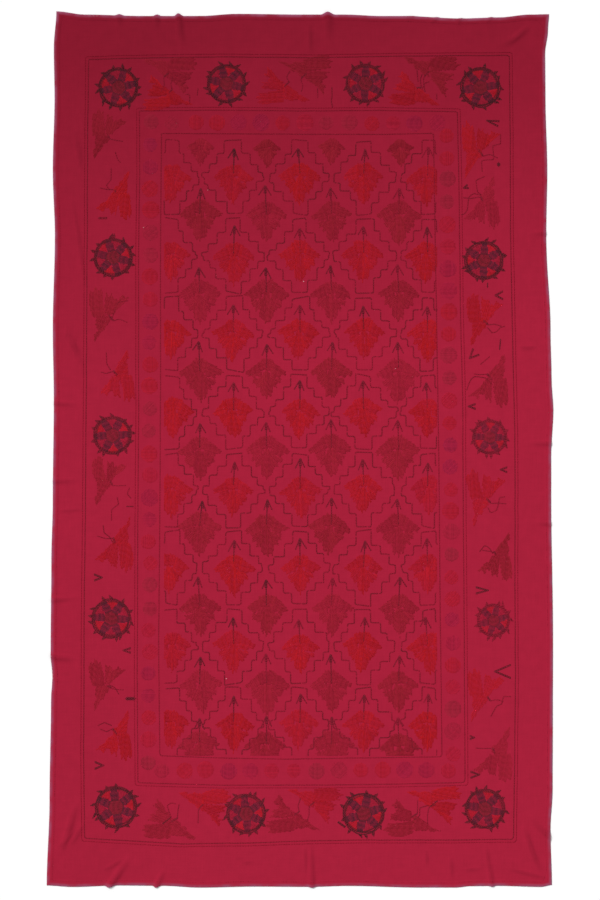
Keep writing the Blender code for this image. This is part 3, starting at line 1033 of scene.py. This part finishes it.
class StitchHem(Operator):
    """Sews the hem down with a line of small running stitches"""

    bl_idname = "suzani.stitch_hem"
    bl_label = "Hem stitching"

    def execute(self, context):
        rng = np.random.default_rng(11)
        x, y = HALF_WIDTH - HEM_STITCH_INSET, HALF_LENGTH - HEM_STITCH_INSET
        corners = [(-x, -y), (x, -y), (x, y), (-x, y), (-x, -y)]
        path = by_hand(evenly_along(corners, 40), 1.2, rng)
        threads = running(path, rng, 4.5, 2.5, fade=0.65)
        sew(context, "hem_stitches", [threads], "brown", on_drawn_cloth)
        return {"FINISHED"}


class StitchRules(Operator):
    """Works the three stitched rules that frame the design, the outer two as double lines"""

    bl_idname = "suzani.stitch_rules"
    bl_label = "Rules"

    def execute(self, context):
        rng = np.random.default_rng(12)
        link, _, _ = gauge(context)
        lines, companions = [], []
        for rule, fade, doubled in (
            (OUTER_RULE, 0.2, True), (MID_RULE, 0.45, True), (INNER_RULE, 0.5, False),
        ):
            path = by_hand(evenly_along([*rule, rule[0]], RULE_STEP), RULE_WAVER, rng)
            lines.append(chain(path, rng, link, width=3.8, fade=fade))
            if doubled:
                outward = path * (1 + RULE_GAP / np.abs(path).max(axis=0))
                companions.append(chain(outward, rng, link, width=2.8, fade=fade + 0.15))
        sew(context, "rules", lines, "brown")
        sew(context, "rule_companions", companions, "pink")
        return {"FINISHED"}


class StitchLattice(Operator):
    """Works the lattice, a stepped lozenge round each red flower of the field"""

    bl_idname = "suzani.stitch_lattice"
    bl_label = "Lattice"

    def execute(self, context):
        rng = np.random.default_rng(13)
        link, _, _ = gauge(context)
        lines = []
        for (column, height), _ in field_flowers("red"):
            path = lozenge(column, height, rng)
            for part in within_field(evenly_along(path, LATTICE_STEP)):
                for stretch in np.array_split(part, max(1, len(part) // LATTICE_RUN)):
                    fade = rng.uniform(0.0, 0.5)
                    lines.append(chain(stretch, rng, link, width=4.4, fade=fade))
        sew(context, "lattice", lines, "brown")
        return {"FINISHED"}


class StitchArrows(Operator):
    """Works the arrow that stands on each flower of the field"""

    bl_idname = "suzani.stitch_arrows"
    bl_label = "Arrows"

    def execute(self, context):
        rng = np.random.default_rng(14)
        link, _, _ = gauge(context)
        lines = []
        for colour in ("red", "dark"):
            for (x, y), size in field_flowers(colour):
                if size < 1 or not FIELD_LEFT + NO_ARROWS < x < FIELD_RIGHT - NO_ARROWS:
                    continue
                tip = np.array([x + rng.normal(0, 2.5), y + rng.uniform(*ARROW_TIP)])
                foot = np.array([x, y + rng.uniform(*ARROW_FOOT)])
                to_right = (x - FIELD_LEFT) / (FIELD_RIGHT - FIELD_LEFT)
                fade = float(np.clip(rng.normal(0.15 + 0.3 * to_right, 0.1), 0, 0.6))
                lines.append(chain([tip, foot], rng, link, 4.4, fade=fade))
                for side in (-1, 1):
                    barb = tip + (side * rng.uniform(*BARB_OUT), -rng.uniform(*BARB_DOWN))
                    lines.append(chain([tip, barb], rng, link, 4.4, fade=fade + 0.1))
                    beside = tip + (side * 2.4, -4)
                    lines.append(chain([beside, beside - (0, 18)], rng, link, 4.2, fade=fade))
        sew(context, "arrows", lines, "black")
        return {"FINISHED"}


class StitchFieldFlowers(Operator):
    """Fills the red and the dark flowers of the field with couched rows"""

    bl_idname = "suzani.stitch_field_flowers"
    bl_label = "Field flowers"

    def execute(self, context):
        _, spacing, height = gauge(context)
        for seed, colour in ((15, "red"), (16, "dark")):
            rng = np.random.default_rng(seed)
            fills = []
            for middle, size in field_flowers(colour):
                turn = rng.normal(0, 2.5)
                size = size * rng.uniform(0.94, 1.06)
                place = np.array(middle) + rng.normal(0, 2.5, 2)
                leaves = both_halves(FIELD_HALF)
                fade = np.clip(rng.normal(0.12, 0.1), 0, 0.4)
                for rows in flower_rows(leaves, place, turn, size, spacing, rng):
                    tone = rng.uniform(0.93, 1.07)
                    fills += couched(inside_field(rows), spacing, rng, height, tone, fade)
            sew(context, f"{colour}_field_flowers", fills, colour)
        return {"FINISHED"}


class StitchBorderFlowers(Operator):
    """Fills the flowers of the border and works the stem that meets each of them"""

    bl_idname = "suzani.stitch_border_flowers"
    bl_label = "Border flowers"

    def execute(self, context):
        link, spacing, height = gauge(context)
        stems = []
        for seed, colour in ((17, "red"), (18, "dark")):
            rng = np.random.default_rng(seed)
            fills = []
            for flower in BORDER_FLOWERS:
                if flower.colour != colour:
                    continue
                turn = flower.turn + rng.normal(0, 3)
                size = rng.uniform(0.9, 1.05)
                fade = np.clip(rng.normal(0.15, 0.1), 0, 0.4)
                for rows in flower_rows(BORDER_FLOWER, flower.place, turn, size, spacing, rng):
                    tone = rng.uniform(0.9, 1.07)
                    fills += couched(rows, spacing, rng, height, tone, fade)
                stem = turned(BORDER_STEM, turn, size) + np.array(flower.place)
                stem += rng.normal(0, 2, stem.shape)
                stems.append(chain(stem, rng, link, 3.6, fade=0.6))
                stems.append(chain(stem[-2:] + (1.5, 2.5), rng, link, 5.0, fade=0.3))
            sew(context, f"{colour}_border_flowers", fills, colour)
        sew(context, "stems", stems, "black")
        return {"FINISHED"}


class StitchRosettes(Operator):
    """Works the rosettes: a thorned ring, a six-pointed star and the petals between its points"""

    bl_idname = "suzani.stitch_rosettes"
    bl_label = "Rosettes"

    def execute(self, context):
        link, spacing, height = gauge(context)
        rng = np.random.default_rng(19)
        outlines, fills = [], {"star": [], "bright": [], "pink": [], "middle": []}
        for rosette in ROSETTES:
            middle = np.array(rosette.middle, float)
            radius, fade = rosette.radius, rosette.fade
            ring = radius * RING_SHARE
            for share in RING_LINES:
                path = circle(ring * share, 24)
                path = path * (1 + rng.normal(0, 0.014, (len(path), 1)))
                path[-1] = path[0]
                outlines.append(chain(path + middle, rng, link, 4.6, 1.2, fade=fade))
            for number in range(THORNS):
                angle = number * 360 / THORNS + rng.uniform(-11, 11)
                length = rng.uniform(*THORN_LENGTH)
                thorn = turned([(0, 0), (length, rng.uniform(-1.0, 1.0) * length)], angle)
                foot = middle + turned((ring, 0), angle)
                for beside in (-2.4, 0, 2.4):
                    line = foot + thorn * (1 - abs(beside) / 6) + turned((0, beside), angle)
                    outlines.append(chain(line, rng, link, 4.4, 1.1, fade=fade + 0.05))
            shapes = [("star", STAR_POINT, 30 + 60 * number) for number in range(6)]
            shapes += [("bright", PETAL, 120 * number) for number in range(3)]
            shapes += [("pink", PETAL, 60 + 120 * number) for number in range(3)]
            shapes += [("middle", circle(MIDDLE_SHARE, 16)[:-1], 0)]
            for thread, outline, turn in shapes:
                outline = np.array(outline) * radius
                outline += rng.normal(0, 0.8, outline.shape)
                rows = turned(hatched(outline, 0, spacing, rng, 0.8), rosette.turn + turn) + middle
                fills[thread] += couched(rows, spacing, rng, height, 1.0, fade * 0.3)
        sew(context, "rosette_lines", outlines, "black")
        for part, batches in fills.items():
            thread = {"star": "navy", "middle": "maroon"}.get(part, part)
            sew(context, f"rosette_{part}_fills", batches, thread)
        return {"FINISHED"}


class StitchRoundels(Operator):
    """Fills the roundels of the narrow band with couched rows"""

    bl_idname = "suzani.stitch_roundels"
    bl_label = "Roundels"

    def execute(self, context):
        _, spacing, height = gauge(context)
        rng = np.random.default_rng(20)
        track = evenly_along([*ROUNDEL_TRACK, ROUNDEL_TRACK[0]], ROUNDEL_PITCH)[:-1]
        fills = {"grey": [], "red": [], "purple": []}
        for number, middle in enumerate(track):
            colour = ROUNDEL_COLOURS[number % len(ROUNDEL_COLOURS)]
            radius = ROUNDEL_RADIUS * rng.uniform(0.86, 1.08)
            middle = middle + rng.normal(0, 1.5, 2)
            outline = circle(radius, 16)[:-1]
            rows = hatched(outline, rng.choice([0, 45, 90]), spacing, rng) + middle
            fade = rng.uniform(0.3, 0.7)
            fills[colour] += couched(rows, spacing, rng, height * 0.8, 1.0, fade)
        for colour, batches in fills.items():
            sew(context, f"{colour}_roundels", batches, colour)
        return {"FINISHED"}


class StitchMarks(Operator):
    """Works the stepped vines and the small chevrons and dashes of the border"""

    bl_idname = "suzani.stitch_marks"
    bl_label = "Vines and marks"

    def execute(self, context):
        link, _, _ = gauge(context)
        rng = np.random.default_rng(21)
        marks, vines = [], []
        for mark in CHEVRONS:
            tip = np.array([mark.length / 2, 0])
            for side in (-1, 1):
                end = np.array([-mark.length / 2, side * mark.spread / 2])
                for inward in (0, 3):
                    arm = np.array([tip - (inward * 2, 0), end - (0, side * inward)])
                    arm = turned(arm, mark.points_to) + np.array(mark.middle)
                    marks.append(chain(arm, rng, link, 4.2, fade=rng.uniform(0.1, 0.35)))
        for dash in DASHES:
            for number in range(dash.lines):
                offset = (number - (dash.lines - 1) / 2) * 3
                half = dash.length / 2 - abs(offset)
                line = turned([(-half, offset), (half, offset)], dash.lies)
                marks.append(chain(line + dash.middle, rng, link, 4.2, fade=dash.fade))
        for vine in VINES:
            path = np.array(vine, float) + rng.normal(0, 1, (len(vine), 2))
            vines.append(chain(path, rng, link, 3.8, fade=rng.uniform(0.2, 0.55)))
        sew(context, "marks", marks, "black")
        sew(context, "vines", vines, "brown")
        return {"FINISHED"}


class LayLooseThreads(Operator):
    """Lays the specks and the worn lines where undyed thread shows"""

    bl_idname = "suzani.lay_loose_threads"
    bl_label = "Undyed thread"

    def execute(self, context):
        rng = np.random.default_rng(22)
        lines = []
        for x, y in WHITE_SPECKS:
            for angle in rng.uniform(0, 180, 2):
                speck = turned([(-1.8, 0), (1.8, 0)], angle) + (x, y)
                lines.append(running(speck, rng, 3, 0.5))
        sew(context, "undyed_specks", lines, "white")
        side, head = 1.5 - HALF_WIDTH, HALF_LENGTH - 3
        spans = (
            [(side, WHITE_LEFT_SPAN[0]), (side, WHITE_LEFT_SPAN[1])],
            [(WHITE_HEAD_SPAN[0], head), (WHITE_HEAD_SPAN[1], head)],
        )
        edges = []
        for span in spans:
            path = by_hand(evenly_along(span, 12), 0.8, rng)
            edges.append(running(path, rng, 7, 3, width=1.2, height=0.6))
        sew(context, "undyed_edge_threads", edges, "white", on_drawn_cloth)
        return {"FINISHED"}


class DeclareCloth(Operator):
    bl_idname = "suzani.declare_cloth"
    bl_label = "Declare the cloth"

    def execute(self, context):
        return {"FINISHED"}


class BuildStage(Operator):
    """Adds the pale floor, the soft lights and the camera straight above the cloth"""

    bl_idname = "suzani.build_stage"
    bl_label = "Stage"

    def execute(self, context):
        settings = context.scene.suzani_stage
        bpy.ops.object.select_all(action="DESELECT")
        bpy.ops.mesh.primitive_plane_add(size=60, location=(0, 0, 0))
        floor = context.active_object
        floor.name = "floor"
        material, tree, shader = new_material("matt_paper_backdrop")
        shader.inputs["Base Color"].default_value = (*settings.floor, 1)
        shader.inputs["Roughness"].default_value = 1.0
        shader.inputs["Specular IOR Level"].default_value = 0.0
        floor.data.materials.append(material)
        light = bpy.data.lights.new("broad_key", "SUN")
        light.energy = settings.key_strength
        light.angle = math.radians(24)
        lamp = bpy.data.objects.new("broad_key", light)
        context.scene.collection.objects.link(lamp)
        lamp.location = (-2.0, 2.0, 3.0)
        lamp.rotation_euler = (0, settings.key_height - math.pi / 2, math.radians(-45))
        world = bpy.data.worlds.new("soft_room")
        world.use_nodes = True
        background = world.node_tree.nodes["Background"]
        background.inputs["Color"].default_value = (1, 1, 1, 1)
        background.inputs["Strength"].default_value = settings.room_strength
        context.scene.world = world
        lens = bpy.data.cameras.new("overhead_camera")
        lens.sensor_fit = "VERTICAL"
        lens.sensor_height = 36
        lens.lens = lens.sensor_height * settings.camera_height / settings.seen_length
        camera = bpy.data.objects.new("overhead_camera", lens)
        context.scene.collection.objects.link(camera)
        camera.location = (0, 0, settings.camera_height)
        context.scene.camera = camera
        context.scene.view_settings.view_transform = "Standard"
        return {"FINISHED"}


OPERATORS = (
    LayCloth, StitchHem, StitchRules, StitchLattice, StitchArrows, StitchFieldFlowers,
    StitchBorderFlowers, StitchRosettes, StitchRoundels, StitchMarks, LayLooseThreads,
    DeclareCloth, BuildStage,
)


class SuzaniPanel(Panel):
    """Lists the suzani's pieces and settings in the sidebar"""

    bl_idname = "VIEW3D_PT_suzani"
    bl_label = "Suzani"
    bl_space_type = "VIEW_3D"
    bl_region_type = "UI"
    bl_category = "Suzani"

    def draw(self, context):
        for operator in OPERATORS:
            self.layout.operator(operator.bl_idname)
        for group in ("suzani_cloth", "suzani_thread", "suzani_stage"):
            box = self.layout.box()
            settings = getattr(context.scene, group)
            for name in settings.__annotations__:
                box.prop(settings, name)


CLASSES = (SuzaniCloth, SuzaniThread, SuzaniStage, *OPERATORS, SuzaniPanel)


def register():
    for each in CLASSES:
        bpy.utils.register_class(each)
    bpy.types.Scene.suzani_cloth = PointerProperty(type=SuzaniCloth)
    bpy.types.Scene.suzani_thread = PointerProperty(type=SuzaniThread)
    bpy.types.Scene.suzani_stage = PointerProperty(type=SuzaniStage)


def unregister():
    del bpy.types.Scene.suzani_stage
    del bpy.types.Scene.suzani_thread
    del bpy.types.Scene.suzani_cloth
    for each in reversed(CLASSES):
        bpy.utils.unregister_class(each)


def main():
    register()
    bpy.ops.suzani.lay_cloth()
    bpy.ops.suzani.stitch_hem()
    bpy.ops.suzani.stitch_rules()
    bpy.ops.suzani.stitch_lattice()
    bpy.ops.suzani.stitch_arrows()
    bpy.ops.suzani.stitch_field_flowers()
    bpy.ops.suzani.stitch_border_flowers()
    bpy.ops.suzani.stitch_rosettes()
    bpy.ops.suzani.stitch_roundels()
    bpy.ops.suzani.stitch_marks()
    bpy.ops.suzani.lay_loose_threads()
    bpy.ops.suzani.declare_cloth()
    bpy.ops.suzani.build_stage()


if __name__ == "__main__":
    main()
